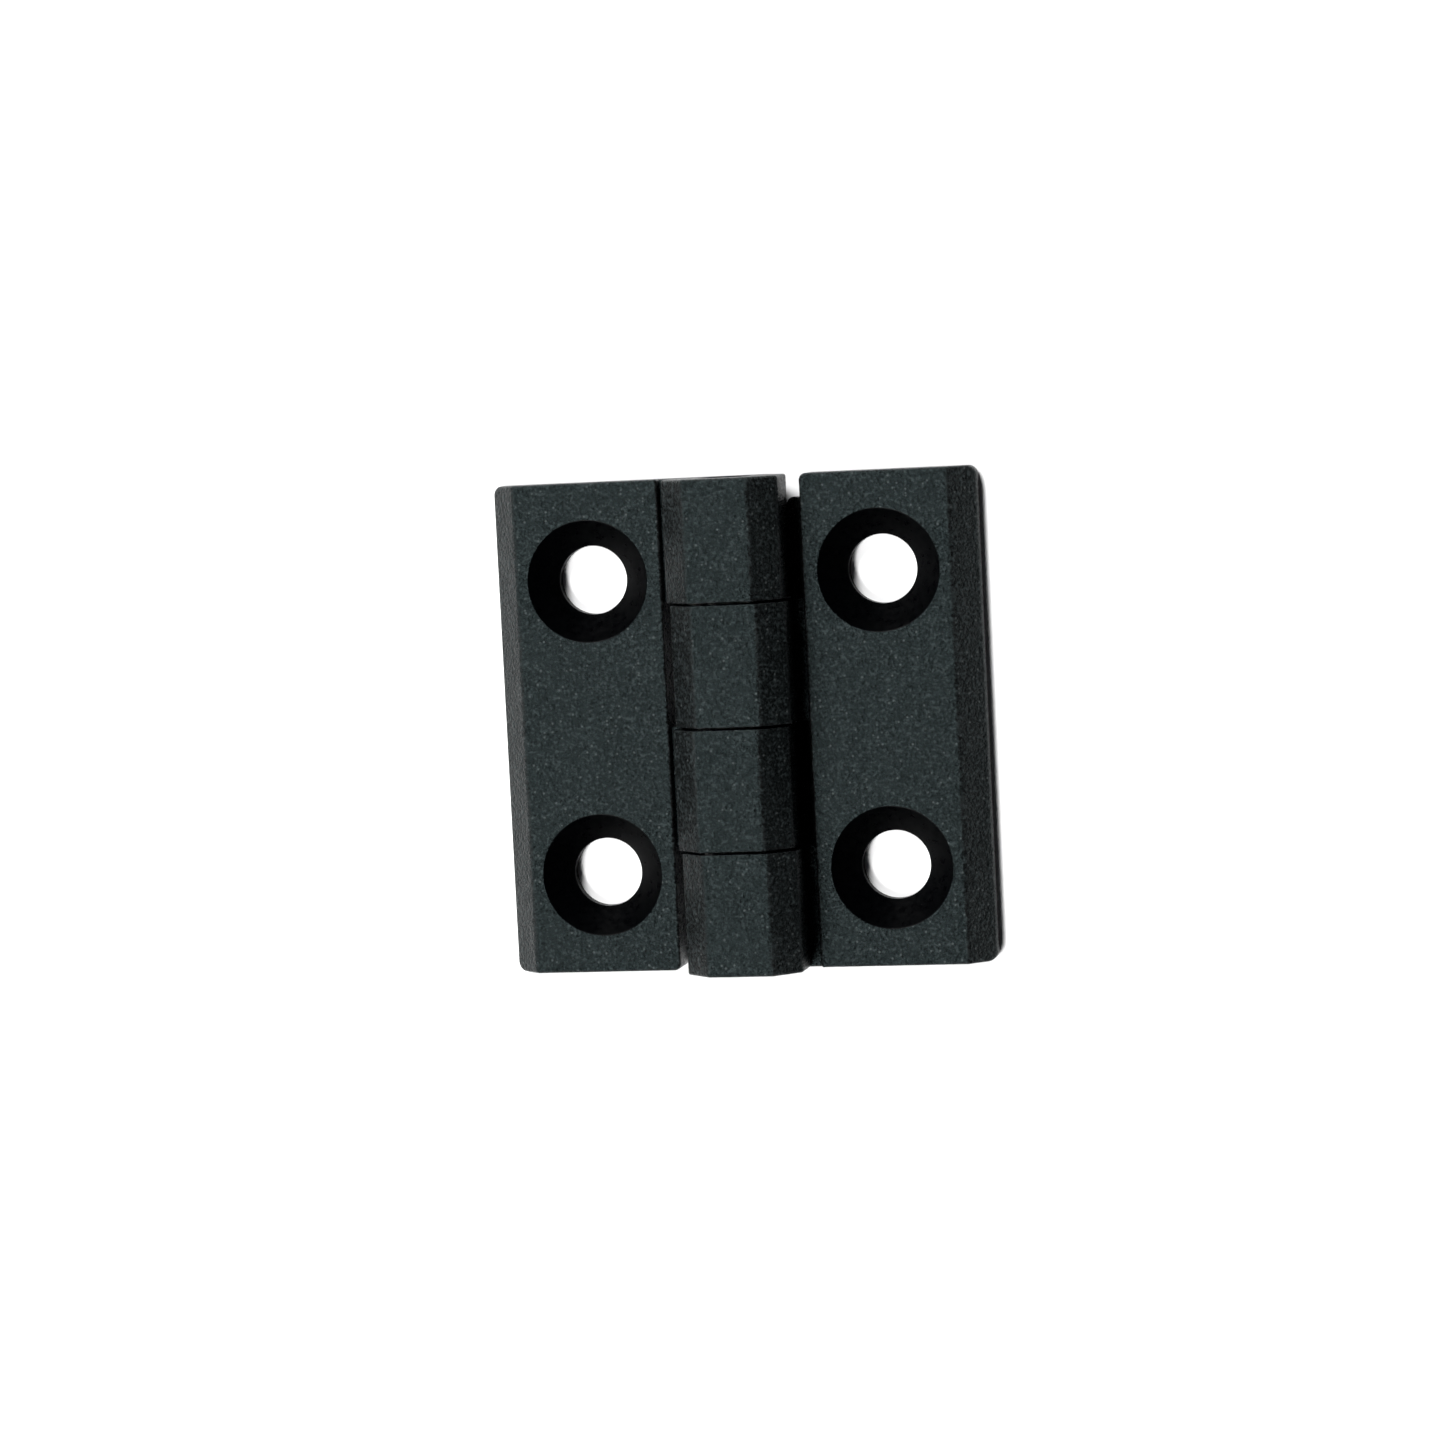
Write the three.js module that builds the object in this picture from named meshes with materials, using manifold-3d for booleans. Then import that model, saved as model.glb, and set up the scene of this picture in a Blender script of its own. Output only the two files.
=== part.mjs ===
// Butt hinge with two countersunk leaves: a pair of equal die-cast leaves, each
// carrying two of the four knuckles, turning on one long steel pin.
//
// Millimetres. The hinge lies open and flat: Z = 0 is the mounting plane under
// both leaves, the pin runs along Y over the origin, and the leaves reach out
// along -X and +X.

import * as THREE from 'three';
import { mergeVertices } from 'three/addons/utils/BufferGeometryUtils.js';
import Module from 'manifold-3d';

const wasm = await Module();
wasm.setup();

// Overall size
const OPEN_WIDTH = 50;
const LENGTH = 50;
const BARREL_HEIGHT = 10;

// Leaves
const LEAF_THICKNESS = 4;
const LEAF_INNER_EDGE = 7.3; // from the pin axis to the edge beside the barrel
const EDGE_BEVEL_WIDTH = 2.6; // bevel along the outer long edge
const EDGE_BEVEL_DROP = 2.5;
const CORNER_RADIUS = 1;
const INNER_CORNER_RADIUS = 0.7; // beside the other leaf's end knuckle
const LIP_EDGE = 5.2; // from the pin axis to the lip that reaches under the other leaf's knuckles
const RECESS_AXIS_HEIGHT = 5.4; // axis of the round hollow over the lip
const LIP_SETBACK = 2.4; // how far the lip stops short of the end of the leaf
const WEB_HEIGHT = 3.3; // the neck between a leaf and its own knuckles

// Barrel: an eight-sided bar, cut into knuckles
const KNUCKLE_COUNT = 4;
const TOP_FLAT = 6.7;
const FACET = 2.6; // run and drop of each 45 degree facet
const KNUCKLE_OFFSET = 0.15; // how far each knuckle stands over towards its own leaf
const KNUCKLE_GAP = 0.3;

// Screw holes for M6 countersunk screws
const HOLE_PITCH_X = 30;
const HOLE_PITCH_Y = 30;
const HOLE_DIAMETER = 7;
const SINK_DIAMETER = 12.4;
const SINK_DEPTH = (SINK_DIAMETER - HOLE_DIAMETER) / 2; // 90 degree sink

// Pin: tight in the fixed leaf, free in the swinging one
const PIN_DIAMETER = 5;
const PIN_SETBACK = 0.3; // how far each end lies inside the barrel end
const PIN_CHAMFER = 0.4;
const TIGHT_CLEARANCE = 0.02; // on the radius
const RUNNING_CLEARANCE = 0.05;

const ROUND_SIDES = 48;
const CORNER_STEPS = 4;
const OVERCUT = 1; // how far a cutting shape passes the face that it cuts

const PIN_AXIS_HEIGHT = BARREL_HEIGHT / 2;
const KNUCKLE_PITCH = LENGTH / KNUCKLE_COUNT;
const RECESS_RADIUS = Math.hypot(LEAF_INNER_EDGE, RECESS_AXIS_HEIGHT - LEAF_THICKNESS);

const paint = new THREE.MeshStandardMaterial({ color: 0x2b2f30, roughness: 0.75, metalness: 0.1 });
const steel = new THREE.MeshStandardMaterial({ color: 0xa9abac, roughness: 0.35, metalness: 1 });

// A closed three.js geometry as a solid that can be cut and joined
function solidFrom(geometry) {
  const shell = geometry.clone();
  shell.deleteAttribute('normal');
  shell.deleteAttribute('uv');
  const merged = mergeVertices(shell);
  return new wasm.Manifold(new wasm.Mesh({
    numProp: 3,
    vertProperties: merged.attributes.position.array,
    triVerts: Uint32Array.from(merged.index.array),
  }));
}

function geometryFrom(solid) {
  const mesh = solid.getMesh();
  const geometry = new THREE.BufferGeometry();
  geometry.setAttribute('position', new THREE.BufferAttribute(mesh.vertProperties, 3));
  geometry.setIndex(new THREE.BufferAttribute(mesh.triVerts, 1));
  geometry.computeVertexNormals();
  return geometry;
}

// Extrudes an outline of [x, z] points along Y, from one station to another
function barAlongPin(outline, from, to) {
  const shape = new THREE.Shape(outline.map(([x, z]) => new THREE.Vector2(x, z)));
  const bar = new THREE.ExtrudeGeometry(shape, { depth: to - from, bevelEnabled: false });
  bar.rotateX(Math.PI / 2);
  bar.translate(0, to, 0);
  return solidFrom(bar);
}

// The flat part of a leaf. Its inner edge is hollowed out round the barrel, so
// that a lip reaches in under the other leaf's knuckles.
function leafPlate() {
  const outer = -OPEN_WIDTH / 2;
  const section = [
    [outer, 0],
    [-LIP_EDGE, 0],
    [-LIP_EDGE, LEAF_THICKNESS],
    [outer + EDGE_BEVEL_WIDTH, LEAF_THICKNESS],
    [outer, LEAF_THICKNESS - EDGE_BEVEL_DROP],
  ];
  const plate = barAlongPin(section, -LENGTH / 2, LENGTH / 2);
  return plate.intersect(roundedPlan()).subtract(rodAlongPin(RECESS_RADIUS, RECESS_AXIS_HEIGHT));
}

// The plan of a leaf as a block taller than the leaf. The corner that meets the
// leaf's own end knuckle stays square, and the other three are rounded. The lip
// ends with a rounded corner of its own.
function roundedPlan() {
  const end = LENGTH / 2;
  const left = CORNER_RADIUS - OPEN_WIDTH / 2;
  const near = INNER_CORNER_RADIUS;
  const lipEnd = LIP_SETBACK + CORNER_RADIUS - end;
  const plan = new THREE.Shape();
  plan.moveTo(-LIP_EDGE, end);
  plan.lineTo(left, end);
  plan.absarc(left, end - CORNER_RADIUS, CORNER_RADIUS, Math.PI / 2, Math.PI);
  plan.absarc(left, CORNER_RADIUS - end, CORNER_RADIUS, Math.PI, Math.PI * 1.5);
  plan.absarc(-LEAF_INNER_EDGE - near, near - end, near, Math.PI * 1.5, Math.PI * 2);
  plan.lineTo(-LEAF_INNER_EDGE, LIP_SETBACK - end);
  plan.absarc(-LIP_EDGE - CORNER_RADIUS, lipEnd, CORNER_RADIUS, Math.PI * 1.5, Math.PI * 2);
  const depth = LEAF_THICKNESS + 2 * OVERCUT;
  const block = new THREE.ExtrudeGeometry(plan, { depth, bevelEnabled: false, curveSegments: CORNER_STEPS });
  block.translate(0, 0, -OVERCUT);
  return solidFrom(block);
}

// A knuckle with the web that joins it to the leaf on its -X side
function knuckle(index) {
  const flat = TOP_FLAT / 2;
  const side = flat + FACET;
  const root = LEAF_INNER_EDGE + CORNER_RADIUS;
  const section = [
    [-root, 0],
    [flat, 0],
    [side, FACET],
    [side, BARREL_HEIGHT - FACET],
    [flat, BARREL_HEIGHT],
    [-flat, BARREL_HEIGHT],
    [-side, BARREL_HEIGHT - FACET],
    [-side, WEB_HEIGHT],
    [-root, WEB_HEIGHT],
  ];
  const highEnd = LENGTH / 2 - index * KNUCKLE_PITCH;
  const from = highEnd - KNUCKLE_PITCH + (index === KNUCKLE_COUNT - 1 ? 0 : KNUCKLE_GAP / 2);
  const to = highEnd - (index === 0 ? 0 : KNUCKLE_GAP / 2);
  return barAlongPin(section, from, to).translate([-KNUCKLE_OFFSET, 0, 0]);
}

// A through hole with a 90 degree sink that opens upwards
function screwHole(x, y) {
  const radius = HOLE_DIAMETER / 2;
  const top = LEAF_THICKNESS + OVERCUT;
  const cutter = new THREE.LatheGeometry([
    new THREE.Vector2(0, -OVERCUT),
    new THREE.Vector2(radius, -OVERCUT),
    new THREE.Vector2(radius, LEAF_THICKNESS - SINK_DEPTH),
    new THREE.Vector2(SINK_DIAMETER / 2 + OVERCUT, top),
    new THREE.Vector2(0, top),
  ], ROUND_SIDES);
  cutter.rotateX(Math.PI / 2);
  cutter.translate(x, y, 0);
  return solidFrom(cutter);
}

// A rod over the middle of the hinge, longer than it, to cut with
function rodAlongPin(radius, height) {
  const rod = new THREE.CylinderGeometry(radius, radius, LENGTH + 2 * OVERCUT, ROUND_SIDES);
  rod.translate(0, 0, height);
  return solidFrom(rod);
}

// One leaf casting on the -X side. Its knuckles are the first and third from
// +Y; turned half a turn about Z, the same casting gives the second and fourth.
function leafCasting(clearance) {
  let casting = leafPlate();
  for (let index = 0; index < KNUCKLE_COUNT; index += 2) {
    casting = casting.add(knuckle(index));
  }
  for (const end of [-1, 1]) {
    casting = casting.subtract(screwHole(-HOLE_PITCH_X / 2, end * HOLE_PITCH_Y / 2));
  }
  return geometryFrom(casting.subtract(rodAlongPin(PIN_DIAMETER / 2 + clearance, PIN_AXIS_HEIGHT)));
}

function pinGeometry() {
  const radius = PIN_DIAMETER / 2;
  const end = LENGTH / 2 - PIN_SETBACK;
  return new THREE.LatheGeometry([
    new THREE.Vector2(0, -end),
    new THREE.Vector2(radius - PIN_CHAMFER, -end),
    new THREE.Vector2(radius, PIN_CHAMFER - end),
    new THREE.Vector2(radius, end - PIN_CHAMFER),
    new THREE.Vector2(radius - PIN_CHAMFER, end),
    new THREE.Vector2(0, end),
  ], ROUND_SIDES);
}

function namedMesh(name, geometry, material) {
  const mesh = new THREE.Mesh(geometry, material);
  mesh.name = name;
  return mesh;
}

const leftLeaf = namedMesh('left_leaf', leafCasting(TIGHT_CLEARANCE), paint);
const rightLeaf = namedMesh('right_leaf', leafCasting(RUNNING_CLEARANCE), paint);
rightLeaf.rotation.z = Math.PI;

const hingePin = namedMesh('hinge_pin', pinGeometry(), steel);
hingePin.position.z = PIN_AXIS_HEIGHT;

const hinge = new THREE.Group();
hinge.add(leftLeaf, rightLeaf, hingePin);

export default hinge;
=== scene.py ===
"""A black die-cast butt hinge on a studio floor.

The leaves are cast shapes with softened edges and countersunk holes under a
sandy powder coat, and the pin is turned steel. Shapes are worked out in
millimetres and handed over in metres.
"""

import math

import bmesh
import bpy
from bpy.props import FloatProperty, FloatVectorProperty, IntProperty, PointerProperty
from mathutils import Matrix, Vector


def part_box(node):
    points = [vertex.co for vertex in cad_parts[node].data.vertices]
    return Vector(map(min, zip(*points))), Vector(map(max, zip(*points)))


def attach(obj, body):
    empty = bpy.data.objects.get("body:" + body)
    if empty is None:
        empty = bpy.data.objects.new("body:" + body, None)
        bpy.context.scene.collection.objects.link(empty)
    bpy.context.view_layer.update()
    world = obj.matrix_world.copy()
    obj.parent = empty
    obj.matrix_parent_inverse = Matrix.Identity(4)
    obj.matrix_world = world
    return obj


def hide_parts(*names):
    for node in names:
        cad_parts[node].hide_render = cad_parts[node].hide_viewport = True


bl_info = {
    "name": "Die-cast butt hinge",
    "version": (1, 0, 0),
    "blender": (4, 5, 0),
    "location": "3D View > Sidebar > Hinge",
    "description": "Adds a black countersunk butt hinge with a turning leaf",
    "category": "Add Mesh",
}

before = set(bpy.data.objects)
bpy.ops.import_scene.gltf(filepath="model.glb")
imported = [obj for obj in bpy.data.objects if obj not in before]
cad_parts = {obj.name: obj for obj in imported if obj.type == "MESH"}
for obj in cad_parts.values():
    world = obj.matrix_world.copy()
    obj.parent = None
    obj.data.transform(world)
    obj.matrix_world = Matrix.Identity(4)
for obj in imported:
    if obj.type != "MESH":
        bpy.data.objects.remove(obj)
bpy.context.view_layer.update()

MM = 0.001
PER_METRE = 1 / MM
FIXED_BODY = "fixed_side"
SWINGING_BODY = "swinging_side"

ARC_STEPS = 12  # in a quarter turn of a leaf corner
ROUND_STEPS = 128  # in a whole turn of a hole or the pin
RIM_STEPS = 6  # across a rounded rim
SOFT_SEGMENTS = 3  # strips across a softened edge
FLAT_ANGLE = math.radians(0.2)  # neighbouring faces this close to level are one face
SHARP_ANGLE = math.radians(20)  # edges steeper than this are softened
CREASE_ANGLE = math.radians(35)  # edges steeper than this stay crisp in the shading
NEAR = 0.01  # mm
SAME_POINT = 0.001  # mm
OVERCUT = 1.0  # mm that a cutting shape passes the face that it cuts
# Mark on the rounded edge strips, which are lightened partly for the thinner coat there and partly as a
# painted highlight along the edges
EDGE_MARK = "edge_wear_and_highlight"

# Sandy coat: sizes in grains, and noise levels from 0 to 1
GRAIN_DETAIL = 3.0
GRAIN_CRISPNESS = 0.62
PEAK_LEVELS = (0.53, 0.64)  # from valley colour to grain colour
GLOSS_LEVELS = (0.40, 0.62)  # from smooth to rough
WAVE_HEIGHT = 0.8  # of the grain's own height
WEAR_AND_HIGHLIGHT_LEVELS = (0.35, 0.7)  # from little edge lightening to much: thinner coat and painted highlight
WEAR_AND_HIGHLIGHT_SHARES = (0.25, 0.75)
FLECKS = (1.3, 0.45, 0.14)  # spacing, radius, and the share of cells that have one
DUST = (13, 0.45, 0.12)
COAT_BUMP = 0.75

# Smooth coat in the holes, and the steel
HOLE_SHADE = 0.6  # of the hole colour, in its darker patches
HOLE_ROUGHER = 0.15  # added in the rougher patches
HOLE_BUMP = 0.3
STEEL_SHADE = 0.78
STEEL_ROUGHER = 0.18
STEEL_BUMP = 0.25
PATCH_LEVELS = (0.3, 0.7)

# Floor, in metres
FLOOR_RADIUS = 4.0
FLOOR_SIDES = 96
FLOOR_LEVEL = -0.00002
FLOOR_PATCH = 0.15
FLOOR_SHADE = 0.98


def length(name, millimetres, description):
    """A length that the user sees as a distance, with its default in millimetres."""
    return FloatProperty(
        name=name,
        description=description,
        default=millimetres * MM,
        min=0.0,
        precision=5,
        subtype="DISTANCE",
        unit="LENGTH",
    )


def share(name, value, description):
    """A plain number from 0 to 1."""
    return FloatProperty(
        name=name, description=description, default=value, min=0.0, max=1.0, subtype="FACTOR"
    )


def colour(name, value, description):
    """A linear colour."""
    return FloatVectorProperty(
        name=name, description=description, default=value, min=0.0, max=1.0, size=3, subtype="COLOR"
    )


def angle(name, degrees, description):
    """An angle with its default in degrees."""
    return FloatProperty(
        name=name,
        description=description,
        default=math.radians(degrees),
        subtype="ANGLE",
        unit="ROTATION",
    )


def power(name, watts):
    """The power of a light."""
    return FloatProperty(name=name, description="Power in watts", default=watts, min=0.0)


# ---------------------------------------------------------------- settings


class HingeLeafSizes(bpy.types.PropertyGroup):
    """Sizes of one leaf."""

    thickness: length("Thickness", 4.0, "Height of the leaf over the mounting plane")
    inner_edge: length("Inner edge", 7.3, "Distance from the pin axis to the edge beside the barrel")
    bevel_width: length("Bevel width", 2.6, "Width of the bevel on the outer long edge")
    bevel_drop: length("Bevel drop", 2.5, "Height of the bevel on the outer long edge")
    corner_radius: length("Corner radius", 1.0, "Radius of the leaf corners, seen from above")
    inner_corner: length("Inner corner", 0.7, "Radius beside the other leaf's end knuckle")
    lip_edge: length("Lip edge", 5.2, "Distance from the pin axis to the lip under the barrel")
    recess_height: length("Recess height", 5.4, "Height of the axis of the hollow over the lip")
    lip_setback: length("Lip setback", 2.4, "How far the lip stops short of the end of the leaf")
    web_height: length("Web height", 3.3, "Height of the neck between the leaf and its knuckles")
    hole_pitch: length("Hole pitch", 30.0, "Distance between the screw holes, across and along")
    hole_diameter: length("Hole diameter", 7.0, "Through hole for the screw")
    sink_diameter: length("Sink diameter", 12.4, "Width of the 90 degree countersink at the top")


class HingeBarrelSizes(bpy.types.PropertyGroup):
    """Sizes of the barrel and its knuckles."""

    top_flat: length("Top flat", 6.7, "Width of the level face on top of the barrel")
    facet: length("Facet", 2.6, "Run and drop of the sloping faces")
    knuckle_offset: length("Offset", 0.15, "How far each knuckle stands over to its own leaf")
    knuckle_gap: length("Knuckle gap", 0.3, "Gap between neighbouring knuckles")
    knuckles: IntProperty(name="Knuckles", description="Knuckles along the pin", default=4, min=2)
    bore_diameter: length("Bore diameter", 5.1, "Hole for the pin")


class HingeEdgeSizes(bpy.types.PropertyGroup):
    """How far the edges of the castings are softened."""

    outline: length("Outline edges", 0.28, "Width of the softening on the outer edges")
    rims: length("Hole rims", 0.15, "Radius of the rounding around the holes")
    seams: length("Knuckle ends", 0.07, "Width of the softening where knuckles meet")
    lips: length("Lip edges", 0.04, "Width of the softening on the thin lip beside the barrel")


class HingePinSizes(bpy.types.PropertyGroup):
    """Sizes of the pin."""

    end_rounding: length("End rounding", 0.4, "Radius where the side of the pin meets its end")
    centre_width: length("Centre mark width", 1.2, "Width of the lathe centre in each end")
    centre_depth: length("Centre mark depth", 0.5, "Depth of the lathe centre in each end")


class HingeCoatLook(bpy.types.PropertyGroup):
    """Look of the black powder coat."""

    valley: colour("Valley colour", (0.0001, 0.0002, 0.0002), "Colour between the grains")
    peak: colour("Grain colour", (0.0150, 0.0185, 0.0190), "Colour on top of the grains")
    fleck: colour("Fleck colour", (0.034, 0.038, 0.038), "Colour of the scattered light grains")
    dust: colour("Dust colour", (0.16, 0.16, 0.15), "Colour of the few specks of dust")
    # The edge colour lightens the rounded edges: partly a thinner coat, partly a painted highlight along
    # them
    edge: colour("Edge colour", (0.006, 0.006, 0.006), "Colour of the thin coat on the edges")
    grain: length("Grain size", 0.34, "Size of the sandy grain")
    wave: length("Wave size", 2.4, "Size of the soft unevenness under the grain")
    relief: length("Grain relief", 0.3, "Height of the grain")
    gloss_tint: colour("Gloss tint", (0.72, 0.98, 1.0), "Colour of the reflections")
    gloss: share("Gloss", 0.13, "Strength of the reflections")
    roughness: share("Roughness", 0.22, "Roughness between the grains")
    grain_roughness: share("Grain roughness", 0.44, "Roughness on top of the grains")


class HingeSinkLook(bpy.types.PropertyGroup):
    """Look of the thin smooth coat inside the holes, made darker as painted shade in them."""

    # The hole colour is darker than the coat outside: painted shade in the holes
    coat: colour("Hole colour", (0.0002, 0.0003, 0.0005), "Colour of the walls of the holes")
    roughness: share("Roughness", 0.25, "Roughness of the walls of the holes")
    gloss: share("Gloss", 0.03, "Strength of the reflections in the holes")


class HingeSteelLook(bpy.types.PropertyGroup):
    """Look of the turned steel pin."""

    metal: colour("Metal colour", (0.33, 0.33, 0.33), "Colour of the bare steel")
    roughness: share("Roughness", 0.36, "Roughness of the bare steel")
    turning: length("Turning marks", 0.09, "Distance between the lathe marks")


class HingeStudio(bpy.types.PropertyGroup):
    """Camera, lights and floor."""

    aim: FloatVectorProperty(
        name="Aim",
        description="Point that the camera looks at",
        default=(-0.001475, 0.000278, 0.005),
        subtype="XYZ",
        unit="LENGTH",
    )
    distance: length("Camera distance", 440.4, "Distance from the camera to its aim")
    lens: FloatProperty(name="Lens", description="Focal length in mm", default=108.74, min=1.0)
    lean_right: angle("Lean to the right", 12.17, "How far the camera stands over to +X")
    lean_back: angle("Lean to the back", 4.46, "How far the camera stands over to +Y")
    roll: angle("Roll", 2.86, "Turn of the camera about its own line of sight")
    floor: colour("Floor colour", (0.87, 0.87, 0.87), "Colour of the floor")
    surround: colour("Surround", (0.02, 0.021, 0.022), "Colour of the light all round")
    key: power("Key light", 4.2)
    front: power("Front light", 10.0)
    back: power("Back light", 25.0)


# ---------------------------------------------------------------- shapes


def along_pin(u, v, w):
    """Section coordinates, and a station along the pin."""
    return (u, w, v)


def upright(u, v, w):
    """Plan coordinates, and a height."""
    return (u, v, w)


def prism(outline, low, high, place):
    """A closed bar with this outline from one level to another."""
    bm = bmesh.new()
    rings = [[bm.verts.new(place(u, v, level)) for u, v in outline] for level in (low, high)]
    for ring in rings:
        bm.faces.new(ring)
    for i in range(len(outline)):
        j = (i + 1) % len(outline)
        bm.faces.new((rings[0][i], rings[0][j], rings[1][j], rings[1][i]))
    return bm


def turned(profile, place):
    """A closed round shape from a profile of (radius, level) that starts and ends on the axis."""
    bm = bmesh.new()
    rings = []
    for radius, level in profile[1:-1]:
        ring = []
        for step in range(ROUND_STEPS):
            turn = 2 * math.pi * step / ROUND_STEPS
            ring.append(bm.verts.new(place(radius * math.cos(turn), radius * math.sin(turn), level)))
        rings.append(ring)
    first = bm.verts.new(place(0, 0, profile[0][1]))
    last = bm.verts.new(place(0, 0, profile[-1][1]))
    for i in range(ROUND_STEPS):
        j = (i + 1) % ROUND_STEPS
        bm.faces.new((first, rings[0][i], rings[0][j]))
        bm.faces.new((last, rings[-1][i], rings[-1][j]))
        for lower, upper in zip(rings, rings[1:]):
            bm.faces.new((lower[i], lower[j], upper[j], upper[i]))
    return bm


def arc(centre_u, centre_v, radius, start, turn=1.0, steps=ARC_STEPS):
    """Points of an arc: its start angle and its turn are in quarter turns."""
    points = []
    for step in range(steps + 1):
        way = (start + turn * step / steps) * math.pi / 2
        points.append((centre_u + radius * math.cos(way), centre_v + radius * math.sin(way)))
    return points


def piece_from(bm, name, material):
    """Puts a finished bmesh in the scene with one material."""
    bmesh.ops.recalc_face_normals(bm, faces=bm.faces)
    mesh = bpy.data.meshes.new(name)
    bm.to_mesh(mesh)
    bm.free()
    mesh.materials.append(material)
    piece = bpy.data.objects.new(name, mesh)
    bpy.context.scene.collection.objects.link(piece)
    return piece


def keep_modified(piece):
    """Makes what the modifiers show into the piece's own mesh."""
    shown = piece.evaluated_get(bpy.context.evaluated_depsgraph_get())
    mesh = bpy.data.meshes.new_from_object(shown)
    old = piece.data
    piece.modifiers.clear()
    piece.data = mesh
    mesh.name = piece.name
    bpy.data.meshes.remove(old)


def combine(piece, tool, operation):
    """Joins, cuts or trims a piece by a tool, which is used up. Cut walls keep the tool's material."""
    modifier = piece.modifiers.new("Combine", "BOOLEAN")
    modifier.operation = operation
    modifier.solver = "EXACT"
    modifier.material_mode = "TRANSFER"
    modifier.object = tool
    keep_modified(piece)
    mesh = tool.data
    bpy.data.objects.remove(tool)
    bpy.data.meshes.remove(mesh)


def soften(piece, edges, softness_of):
    """Rounds the sharp edges, each by its own width, and marks the rounded strips."""
    bm = bmesh.new()
    bm.from_mesh(piece.data)
    bmesh.ops.remove_doubles(bm, verts=bm.verts, dist=SAME_POINT)
    bmesh.ops.dissolve_limit(
        bm, angle_limit=FLAT_ANGLE, verts=bm.verts, edges=bm.edges, delimit={"MATERIAL"}
    )
    weights = bm.edges.layers.float.new("bevel_weight_edge")
    widest = edges.outline * PER_METRE
    for edge in bm.edges:
        if edge.calc_face_angle(0.0) > SHARP_ANGLE:
            edge[weights] = softness_of(edge) / widest
    bm.to_mesh(piece.data)
    bm.free()
    strip_index = len(piece.data.materials)
    piece.data.materials.append(None)
    modifier = piece.modifiers.new("Soft edges", "BEVEL")
    modifier.limit_method = "WEIGHT"
    modifier.width = widest
    modifier.segments = SOFT_SEGMENTS
    modifier.use_clamp_overlap = False
    modifier.loop_slide = True
    modifier.miter_outer = "MITER_SHARP"
    modifier.material = strip_index
    keep_modified(piece)
    mark_strips(piece.data, strip_index)


def mark_strips(mesh, strip_index):
    """Writes 1 on the points inside the rounded strips, and gives the strips their neighbours' coat."""
    inside = [True] * len(mesh.vertices)
    for face in mesh.polygons:
        if face.material_index != strip_index:
            for vertex in face.vertices:
                inside[vertex] = False
        else:
            face.material_index = 0
    mesh.materials.pop(index=strip_index)
    mark = mesh.attributes.new(EDGE_MARK, "FLOAT", "POINT")
    mark.data.foreach_set("value", [float(value) for value in inside])


def finish_piece(piece, name, body, node):
    """Hands the piece over in metres, smooth-shaded, on its body and in place of its CAD node."""
    piece.data.transform(Matrix.Scale(MM, 4))
    piece.data.shade_smooth()
    piece.data.set_sharp_from_angle(angle=CREASE_ANGLE)
    normals = piece.modifiers.new("Even shading", "WEIGHTED_NORMAL")
    normals.mode = "FACE_AREA"
    normals.weight = 100
    normals.keep_sharp = True
    piece.name = name
    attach(piece, body)
    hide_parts(node)


# ---------------------------------------------------------------- castings


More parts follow.
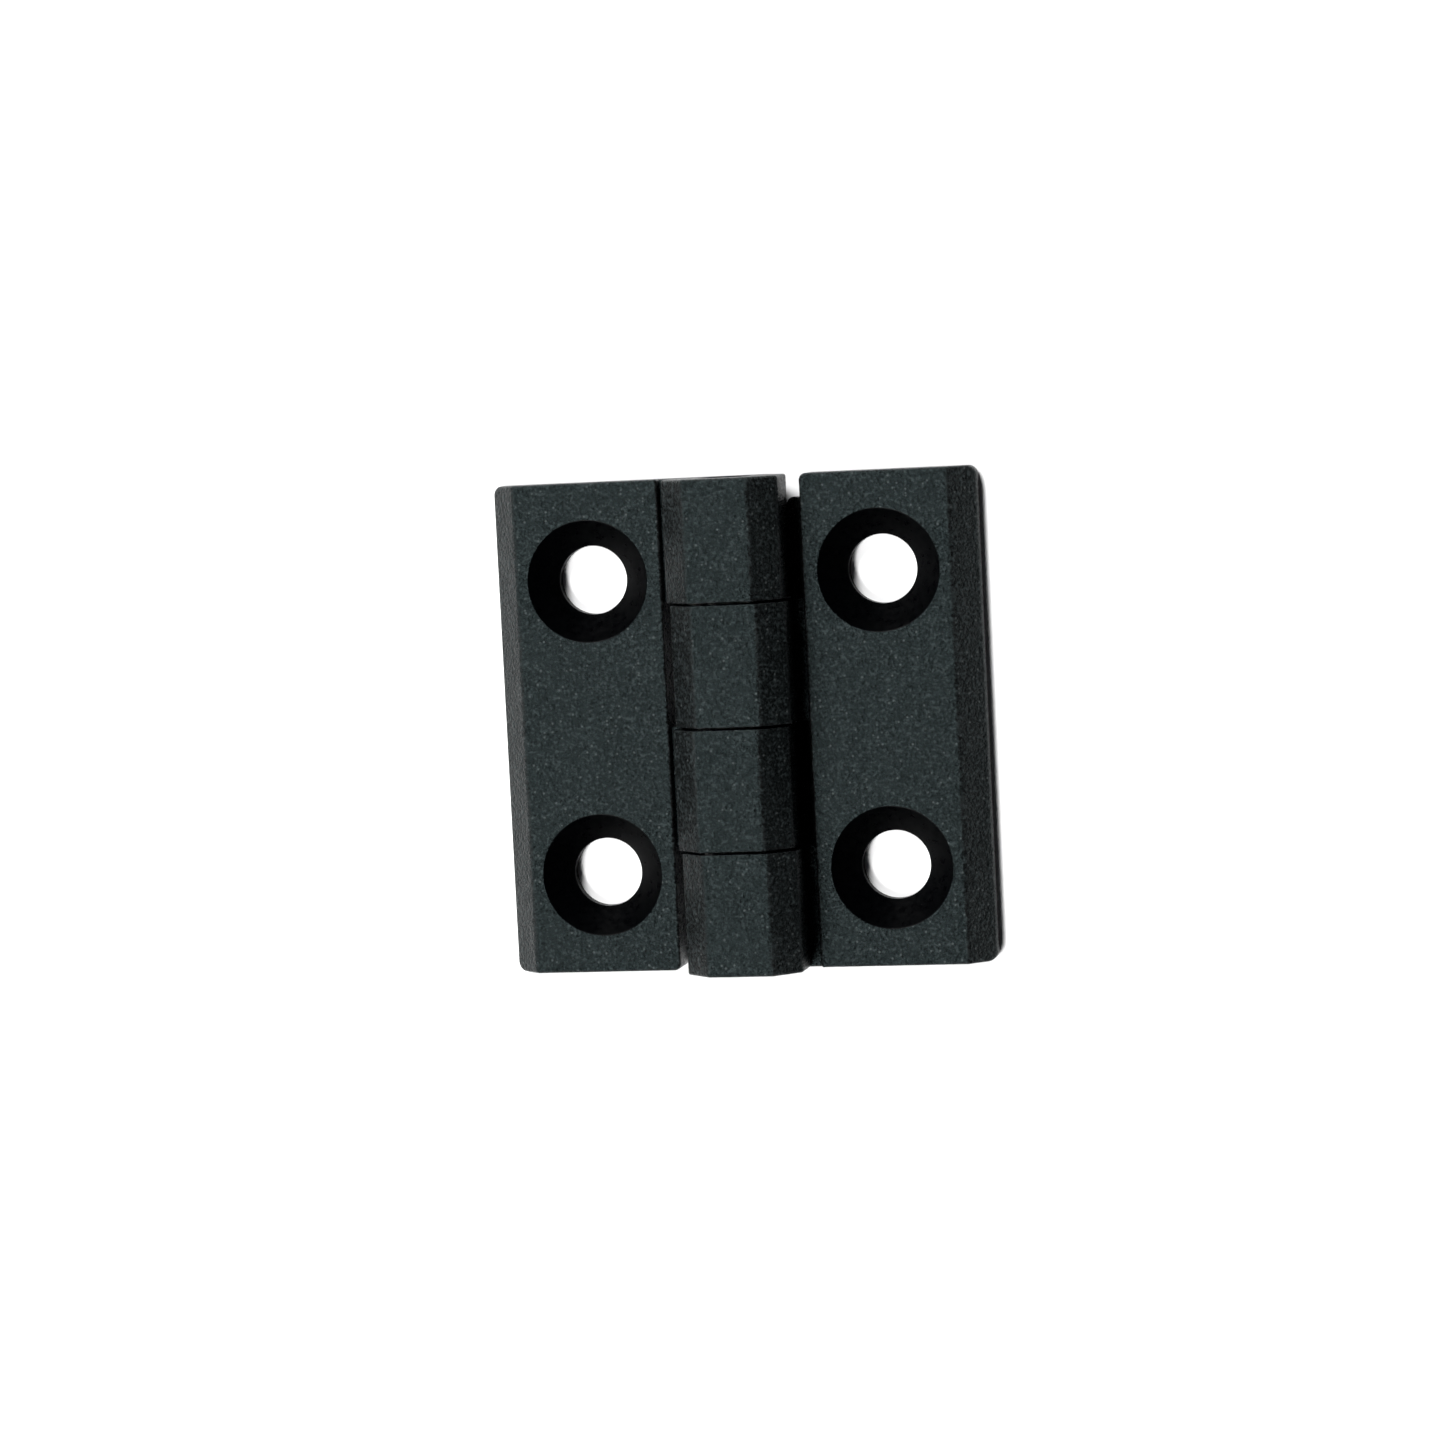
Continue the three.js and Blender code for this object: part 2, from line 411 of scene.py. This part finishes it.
class Casting:
    """One leaf with its knuckles, on the -X side, in millimetres. The other leaf is the same casting."""

    def __init__(self, scene):
        low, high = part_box("left_leaf")
        self.leaf = scene.hinge_leaf
        self.barrel = scene.hinge_barrel
        self.edges = scene.hinge_edges
        self.outer = low.x * PER_METRE
        self.end = high.y * PER_METRE
        self.height = high.z * PER_METRE
        self.inner = -self.leaf.inner_edge * PER_METRE
        self.lip = -self.leaf.lip_edge * PER_METRE
        self.thickness = self.leaf.thickness * PER_METRE
        self.corner = self.leaf.corner_radius * PER_METRE
        self.facet = self.barrel.facet * PER_METRE
        self.flat = self.barrel.top_flat * PER_METRE / 2
        self.gap = self.barrel.knuckle_gap * PER_METRE
        self.hole_at = self.leaf.hole_pitch * PER_METRE / 2
        self.knuckle_pitch = 2 * self.end / self.barrel.knuckles

    def plate(self):
        """The flat part, bevelled along its outer edge."""
        drop = self.leaf.bevel_drop * PER_METRE
        section = [
            (self.outer, 0),
            (self.lip, 0),
            (self.lip, self.thickness),
            (self.outer + self.leaf.bevel_width * PER_METRE, self.thickness),
            (self.outer, self.thickness - drop),
        ]
        return prism(section, -self.end, self.end, along_pin)

    def plan(self):
        """The plan of the flat part. The corner at the leaf's own end knuckle stays square."""
        left = self.outer + self.corner
        top = self.end - self.corner
        near = self.leaf.inner_corner * PER_METRE
        lip_end = self.leaf.lip_setback * PER_METRE - self.end
        outline = [(self.lip, self.end)]
        outline += arc(left, top, self.corner, 1)
        outline += arc(left, -top, self.corner, 2)
        outline += arc(self.inner - near, near - self.end, near, 3)
        outline += [(self.inner, lip_end)]
        outline += arc(self.lip - self.corner, lip_end + self.corner, self.corner, 3)
        return prism(outline, -OVERCUT, self.thickness + OVERCUT, upright)

    def recess(self):
        """The round hollow along the inner edge, which leaves a lip under the other leaf's knuckles."""
        height = self.leaf.recess_height * PER_METRE
        radius = math.hypot(self.inner, height - self.thickness)
        return self.rod([(radius, self.end + OVERCUT)], height)

    def rod(self, half, height):
        """A round shape along the pin, from the half of its profile at the +Y end."""
        half = [*half, (0, half[-1][1])]
        profile = [(radius, -level) for radius, level in reversed(half)] + half
        return turned(profile, lambda u, v, w: (u, w, v + height))

    def knuckle(self, index):
        """An eight-sided knuckle with the web that reaches into the leaf."""
        side = self.flat + self.facet
        offset = self.barrel.knuckle_offset * PER_METRE
        web = self.leaf.web_height * PER_METRE
        root = self.inner - self.corner
        section = [
            (root, 0),
            (self.flat, 0),
            (side, self.facet),
            (side, self.height - self.facet),
            (self.flat, self.height),
            (-self.flat, self.height),
            (-side, self.height - self.facet),
            (-side, web),
            (root, web),
        ]
        high = self.end - index * self.knuckle_pitch
        low = high - self.knuckle_pitch
        last = index == self.barrel.knuckles - 1
        return prism(
            [(u - offset, v) for u, v in section],
            low if last else low + self.gap / 2,
            high if index == 0 else high - self.gap / 2,
            along_pin,
        )

    def screw_hole(self, y):
        """A through hole with a 90 degree sink, with rounded rims."""
        radius = self.leaf.hole_diameter * PER_METRE / 2
        rim = self.leaf.sink_diameter * PER_METRE / 2
        knee = self.thickness - (rim - radius)
        soft = self.edges.rims * PER_METRE
        lean = soft * math.tan(math.pi / 8)
        foot_arc = arc(radius + soft, soft, soft, 3, -1, RIM_STEPS)[1:]
        knee_arc = arc(radius + soft, knee - lean, soft, 2, -0.5, RIM_STEPS)
        top_arc = arc(rim + lean, self.thickness - soft, soft, 1.5, -0.5, RIM_STEPS)[:-1]
        foot = (foot_arc[0][0], -OVERCUT)
        top = (top_arc[-1][0], self.thickness + OVERCUT)
        profile = [(0, foot[1]), foot, *foot_arc, *knee_arc, *top_arc, top, (0, top[1])]
        return turned(profile, lambda u, v, w: (u - self.hole_at, v + y, w))

    def bore(self):
        """The hole for the pin, right through the barrel, with rounded rims."""
        radius = self.barrel.bore_diameter * PER_METRE / 2
        soft = self.edges.rims * PER_METRE
        mouth = arc(radius + soft, self.end - soft, soft, 2, -1, RIM_STEPS)[:-1]
        return self.rod([*mouth, (mouth[-1][0], self.end + OVERCUT)], self.height / 2)

    def softness(self, edge):
        """How far a sharp edge is rounded, in millimetres."""
        points = [vertex.co for vertex in edge.verts]
        on_top = all(point.z > self.thickness - NEAR for point in points)
        at_end = all(abs(point.y) > self.end - NEAR for point in points)
        in_gap = all(self.inner - NEAR < point.x < self.lip + NEAR for point in points)
        if in_gap and not on_top and not at_end:
            return self.edges.lips * PER_METRE
        level = abs(points[0].y - points[1].y) < NEAR
        beside_pin = all(abs(point.x) < NEAR - self.inner for point in points)
        if level and beside_pin and not at_end:
            return self.edges.seams * PER_METRE
        return self.edges.outline * PER_METRE

    def make(self, name, coat, hole_coat_with_painted_shade):
        """The whole casting as a piece, still in millimetres."""
        piece = piece_from(self.plate(), name, coat)
        combine(piece, piece_from(self.plan(), "plan", coat), "INTERSECT")
        combine(piece, piece_from(self.recess(), "recess", coat), "DIFFERENCE")
        for index in range(0, self.barrel.knuckles, 2):
            combine(piece, piece_from(self.knuckle(index), "knuckle", coat), "UNION")
        soften(piece, self.edges, self.softness)
        for y in (-self.hole_at, self.hole_at):
            combine(piece, piece_from(self.screw_hole(y), "screw_hole", hole_coat_with_painted_shade), "DIFFERENCE")
        combine(piece, piece_from(self.bore(), "bore", hole_coat_with_painted_shade), "DIFFERENCE")
        return piece


def pin_profile(sizes, radius, end):
    """The pin's profile, with rounded ends and a lathe centre in each."""
    rounding = sizes.end_rounding * PER_METRE
    centre = sizes.centre_width * PER_METRE / 2
    depth = sizes.centre_depth * PER_METRE
    half = [(0, end - depth), (centre, end)]
    half += arc(radius - rounding, end - rounding, rounding, 1, -1)
    return half + [(r, -level) for r, level in reversed(half)]


# ---------------------------------------------------------------- finishes


def add_node(tree, kind, inputs=None, **settings):
    """Adds a shader node, sets it up, and feeds its inputs with values or with other nodes' outputs."""
    made = tree.nodes.new(kind)
    for name, value in settings.items():
        setattr(made, name, value)
    for name, value in (inputs or {}).items():
        if isinstance(value, bpy.types.NodeSocket):
            tree.links.new(value, made.inputs[name])
        else:
            made.inputs[name].default_value = value
    return made


def new_material(name):
    """An empty material with a Principled shader, and its tree, shader and object coordinates."""
    material = bpy.data.materials.new(name)
    material.use_nodes = True
    tree = material.node_tree
    tree.nodes.clear()
    shader = tree.nodes.new("ShaderNodeBsdfPrincipled")
    output = tree.nodes.new("ShaderNodeOutputMaterial")
    tree.links.new(shader.outputs["BSDF"], output.inputs["Surface"])
    place = tree.nodes.new("ShaderNodeTexCoord").outputs["Object"]
    return material, tree, shader, place


def noise(tree, place, size, detail=2.0, roughness=0.5):
    """Soft noise with lumps of this size in metres."""
    return add_node(
        tree,
        "ShaderNodeTexNoise",
        {"Vector": place, "Scale": 1 / size, "Detail": detail, "Roughness": roughness},
    ).outputs["Fac"]


def remap(tree, value, low, high, to_low=0.0, to_high=1.0):
    """A value stretched from one range to another, and held inside it."""
    return add_node(
        tree,
        "ShaderNodeMapRange",
        {"Value": value, "From Min": low, "From Max": high, "To Min": to_low, "To Max": to_high},
    ).outputs["Result"]


def maths(tree, operation, first, second):
    """One sum."""
    made = add_node(tree, "ShaderNodeMath", operation=operation)
    for socket, value in zip(made.inputs, (first, second)):
        if isinstance(value, bpy.types.NodeSocket):
            tree.links.new(value, socket)
        else:
            socket.default_value = value
    return made.outputs[0]


def blended(tree, amount, first, second):
    """A colour between two others."""
    made = add_node(tree, "ShaderNodeMix", data_type="RGBA")
    sockets = {"Factor": amount, "A": first, "B": second}
    for socket in made.inputs:
        value = sockets.get(socket.name)
        if value is None or not socket.enabled:
            continue
        if isinstance(value, bpy.types.NodeSocket):
            tree.links.new(value, socket)
        else:
            socket.default_value = value if socket.type != "RGBA" else (*value, 1.0)
    return next(socket for socket in made.outputs if socket.type == "RGBA" and socket.enabled)


def scattered_dots(tree, place, grain, layout):
    """1 inside small dots, with a soft rim, in some of the cells of a loose grid."""
    spacing, radius, portion = layout
    cells = add_node(
        tree,
        "ShaderNodeTexVoronoi",
        {"Vector": place, "Scale": 1 / (grain * spacing), "Randomness": 1.0},
    )
    reach = radius / spacing
    dot = remap(tree, cells.outputs["Distance"], reach, reach / 2)
    chosen = add_node(tree, "ShaderNodeSeparateColor", {"Color": cells.outputs["Color"]})
    return maths(tree, "MULTIPLY", dot, maths(tree, "LESS_THAN", chosen.outputs[0], portion))


def roughen(tree, shader, height, strength, distance):
    """Tilts the shading by a height, which is this many metres from 0 to 1."""
    bump = add_node(
        tree, "ShaderNodeBump", {"Height": height, "Strength": strength, "Distance": distance}
    )
    tree.links.new(bump.outputs["Normal"], shader.inputs["Normal"])


def powder_coat(look):
    """Black sandy powder coat: fine grain, light flecks, a little dust and thinner edges, which are also
    lightened as a painted highlight.
    """
    material, tree, shader, place = new_material("sandy_black_coat")
    grain = noise(tree, place, look.grain, GRAIN_DETAIL, GRAIN_CRISPNESS)
    wave = noise(tree, place, look.wave, detail=1.0)
    height = maths(tree, "ADD", maths(tree, "MULTIPLY", wave, WAVE_HEIGHT), grain)
    level = remap(tree, grain, *PEAK_LEVELS)
    body = blended(tree, level, look.valley, look.peak)
    flecks = scattered_dots(tree, place, look.grain, FLECKS)
    body = blended(tree, flecks, body, look.fleck)
    # The rounded edge strips take the edge colour: partly a thinner coat there, partly a painted
    # highlight along the edges
    edge_strips = add_node(tree, "ShaderNodeAttribute", attribute_name=EDGE_MARK).outputs["Fac"]
    wear_and_highlight = maths(tree, "MULTIPLY", edge_strips, remap(tree, wave, *WEAR_AND_HIGHLIGHT_LEVELS, *WEAR_AND_HIGHLIGHT_SHARES))
    body = blended(tree, wear_and_highlight, body, look.edge)
    dust = scattered_dots(tree, place, look.grain, DUST)
    body = blended(tree, dust, body, look.dust)
    tree.links.new(body, shader.inputs["Base Color"])
    rough = remap(tree, grain, *GLOSS_LEVELS, look.roughness, look.grain_roughness)
    tree.links.new(rough, shader.inputs["Roughness"])
    roughen(tree, shader, height, COAT_BUMP, look.relief)
    shader.inputs["Specular IOR Level"].default_value = look.gloss
    shader.inputs["Specular Tint"].default_value = (*look.gloss_tint, 1.0)
    return material


def hole_coat_with_painted_shade(look, grain_size):
    """The thinner, smoother coat that reaches into the holes, in a darker colour that is painted shade.
    """
    material, tree, shader, place = new_material("smooth_black_coat_with_painted_shade")
    mottle = noise(tree, place, grain_size * 2)
    darker = tuple(channel * HOLE_SHADE for channel in look.coat)
    tree.links.new(blended(tree, mottle, darker, look.coat), shader.inputs["Base Color"])
    rough = remap(tree, mottle, *PATCH_LEVELS, look.roughness, look.roughness + HOLE_ROUGHER)
    tree.links.new(rough, shader.inputs["Roughness"])
    roughen(tree, shader, mottle, HOLE_BUMP, grain_size / 20)
    shader.inputs["Specular IOR Level"].default_value = look.gloss
    return material


def turned_steel(look, axis_height):
    """Bare steel with fine rings from the lathe."""
    material, tree, shader, place = new_material("turned_steel")
    from_axis = add_node(
        tree, "ShaderNodeVectorMath", {0: place, 1: (0.0, 0.0, -axis_height)}, operation="ADD"
    ).outputs["Vector"]
    across = add_node(
        tree, "ShaderNodeVectorMath", {0: from_axis, 1: (1.0, 0.0, 1.0)}, operation="MULTIPLY"
    ).outputs["Vector"]
    radius = add_node(tree, "ShaderNodeVectorMath", {0: across}, operation="LENGTH").outputs["Value"]
    rings = maths(tree, "SINE", maths(tree, "MULTIPLY", radius, 2 * math.pi / look.turning), 0.0)
    stain = noise(tree, place, look.turning * 9, detail=4.0)
    dull = tuple(channel * STEEL_SHADE for channel in look.metal)
    tree.links.new(blended(tree, stain, dull, look.metal), shader.inputs["Base Color"])
    rough = remap(tree, stain, *PATCH_LEVELS, look.roughness, look.roughness + STEEL_ROUGHER)
    tree.links.new(rough, shader.inputs["Roughness"])
    roughen(tree, shader, rings, STEEL_BUMP, look.turning / 40)
    shader.inputs["Metallic"].default_value = 1.0
    return material


def studio_floor(studio):
    """Pale matt floor."""
    material, tree, shader, place = new_material("studio_floor")
    mottle = noise(tree, place, FLOOR_PATCH)
    shade = tuple(channel * FLOOR_SHADE for channel in studio.floor)
    tree.links.new(blended(tree, mottle, shade, studio.floor), shader.inputs["Base Color"])
    shader.inputs["Roughness"].default_value = 0.9
    shader.inputs["Specular IOR Level"].default_value = 0.0
    return material


# ---------------------------------------------------------------- stage


def add_floor(studio):
    """A wide round floor just under the hinge."""
    bm = bmesh.new()
    bmesh.ops.create_circle(bm, cap_ends=True, segments=FLOOR_SIDES, radius=FLOOR_RADIUS)
    floor = piece_from(bm, "floor", studio_floor(studio))
    floor.location.z = FLOOR_LEVEL


def add_softbox(name, place, size, watts):
    """A square area light that faces the hinge."""
    light = bpy.data.lights.new(name, "AREA")
    light.shape = "SQUARE"
    light.size = size
    light.energy = watts
    lamp = bpy.data.objects.new(name, light)
    lamp.location = place
    lamp.rotation_mode = "QUATERNION"
    lamp.rotation_quaternion = (-Vector(place)).to_track_quat("-Z", "Y")
    bpy.context.scene.collection.objects.link(lamp)


def add_surround(studio):
    """Even light from all round."""
    world = bpy.data.worlds.new("surround")
    world.use_nodes = True
    background = world.node_tree.nodes["Background"]
    background.inputs["Color"].default_value = (*studio.surround, 1.0)
    background.inputs["Strength"].default_value = 1.0
    bpy.context.scene.world = world


def add_camera(studio):
    """A camera over the hinge, leaning to the right and a little to the back."""
    back = Vector((
        math.cos(studio.lean_back) * math.sin(studio.lean_right),
        math.sin(studio.lean_back),
        math.cos(studio.lean_back) * math.cos(studio.lean_right),
    ))
    level_up = (Vector((0, 1, 0)) - back * back.y).normalized()
    level_right = level_up.cross(back)
    up = level_up * math.cos(studio.roll) + level_right * math.sin(studio.roll)
    right = up.cross(back)
    lens = bpy.data.cameras.new("camera")
    lens.lens = studio.lens
    lens.sensor_width = 36.0
    lens.clip_start = 0.01
    lens.clip_end = 20.0
    camera = bpy.data.objects.new("camera", lens)
    camera.rotation_mode = "QUATERNION"
    camera.rotation_quaternion = Matrix((right, up, back)).transposed().to_quaternion()
    camera.location = Vector(studio.aim) + back * studio.distance
    bpy.context.scene.collection.objects.link(camera)
    bpy.context.scene.camera = camera


# ---------------------------------------------------------------- operators


class HINGE_OT_add_leaves(bpy.types.Operator):
    """Add the two leaf castings."""

    bl_idname = "hinge.add_leaves"
    bl_label = "Add Leaves"

    def execute(self, context):
        scene = context.scene
        coat = powder_coat(scene.hinge_coat)
        hole = hole_coat_with_painted_shade(scene.hinge_sink, scene.hinge_coat.grain)
        casting = Casting(scene)
        left = casting.make("left", coat, hole)
        right = casting.make("right", coat, hole)
        right.data.transform(Matrix.Rotation(math.pi, 4, "Z"))
        finish_piece(left, "left_leaf_casting", FIXED_BODY, "left_leaf")
        finish_piece(right, "right_leaf_casting", SWINGING_BODY, "right_leaf")
        return {"FINISHED"}


class HINGE_OT_add_pin(bpy.types.Operator):
    """Add the steel pin."""

    bl_idname = "hinge.add_pin"
    bl_label = "Add Pin"

    def execute(self, context):
        scene = context.scene
        low, high = (corner * PER_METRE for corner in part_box("hinge_pin"))
        height = (low.z + high.z) / 2
        profile = pin_profile(scene.hinge_pin, (high.z - low.z) / 2, high.y)
        steel = turned_steel(scene.hinge_steel, height * MM)
        pin = piece_from(turned(profile, lambda u, v, w: (u, w, v + height)), "pin", steel)
        finish_piece(pin, "turned_pin", FIXED_BODY, "hinge_pin")
        return {"FINISHED"}


class HINGE_OT_add_stage(bpy.types.Operator):
    """Add the floor, the lights and the camera."""

    bl_idname = "hinge.add_stage"
    bl_label = "Add Stage"

    def execute(self, context):
        studio = context.scene.hinge_studio
        add_floor(studio)
        add_surround(studio)
        add_softbox("key_light", (-0.24, -0.30, 0.60), 0.20, studio.key)
        add_softbox("front_light", (-0.38, -0.70, 0.72), 0.50, studio.front)
        add_softbox("back_light", (-0.38, 0.80, 0.68), 0.50, studio.back)
        add_camera(studio)
        context.scene.view_settings.view_transform = "Standard"
        return {"FINISHED"}


class VIEW3D_PT_hinge(bpy.types.Panel):
    """Buttons and settings for the hinge."""

    bl_idname = "VIEW3D_PT_hinge"
    bl_label = "Butt Hinge"
    bl_space_type = "VIEW_3D"
    bl_region_type = "UI"
    bl_category = "Hinge"

    def draw(self, context):
        for operator in OPERATORS:
            self.layout.operator(operator.bl_idname)
        for attribute, group in SETTINGS.items():
            box = self.layout.box()
            box.label(text=group.__doc__)
            settings = getattr(context.scene, attribute)
            for name in group.__annotations__:
                box.prop(settings, name)


OPERATORS = (HINGE_OT_add_leaves, HINGE_OT_add_pin, HINGE_OT_add_stage)
SETTINGS = {
    "hinge_leaf": HingeLeafSizes,
    "hinge_barrel": HingeBarrelSizes,
    "hinge_edges": HingeEdgeSizes,
    "hinge_pin": HingePinSizes,
    "hinge_coat": HingeCoatLook,
    "hinge_sink": HingeSinkLook,
    "hinge_steel": HingeSteelLook,
    "hinge_studio": HingeStudio,
}


def register():
    for cls in (*SETTINGS.values(), *OPERATORS, VIEW3D_PT_hinge):
        bpy.utils.register_class(cls)
    for attribute, group in SETTINGS.items():
        setattr(bpy.types.Scene, attribute, PointerProperty(type=group))


def unregister():
    for attribute in SETTINGS:
        delattr(bpy.types.Scene, attribute)
    for cls in reversed((*SETTINGS.values(), *OPERATORS, VIEW3D_PT_hinge)):
        bpy.utils.unregister_class(cls)


def main():
    register()
    bpy.ops.hinge.add_leaves()
    bpy.ops.hinge.add_pin()
    bpy.ops.hinge.add_stage()


if __name__ == "__main__":
    main()
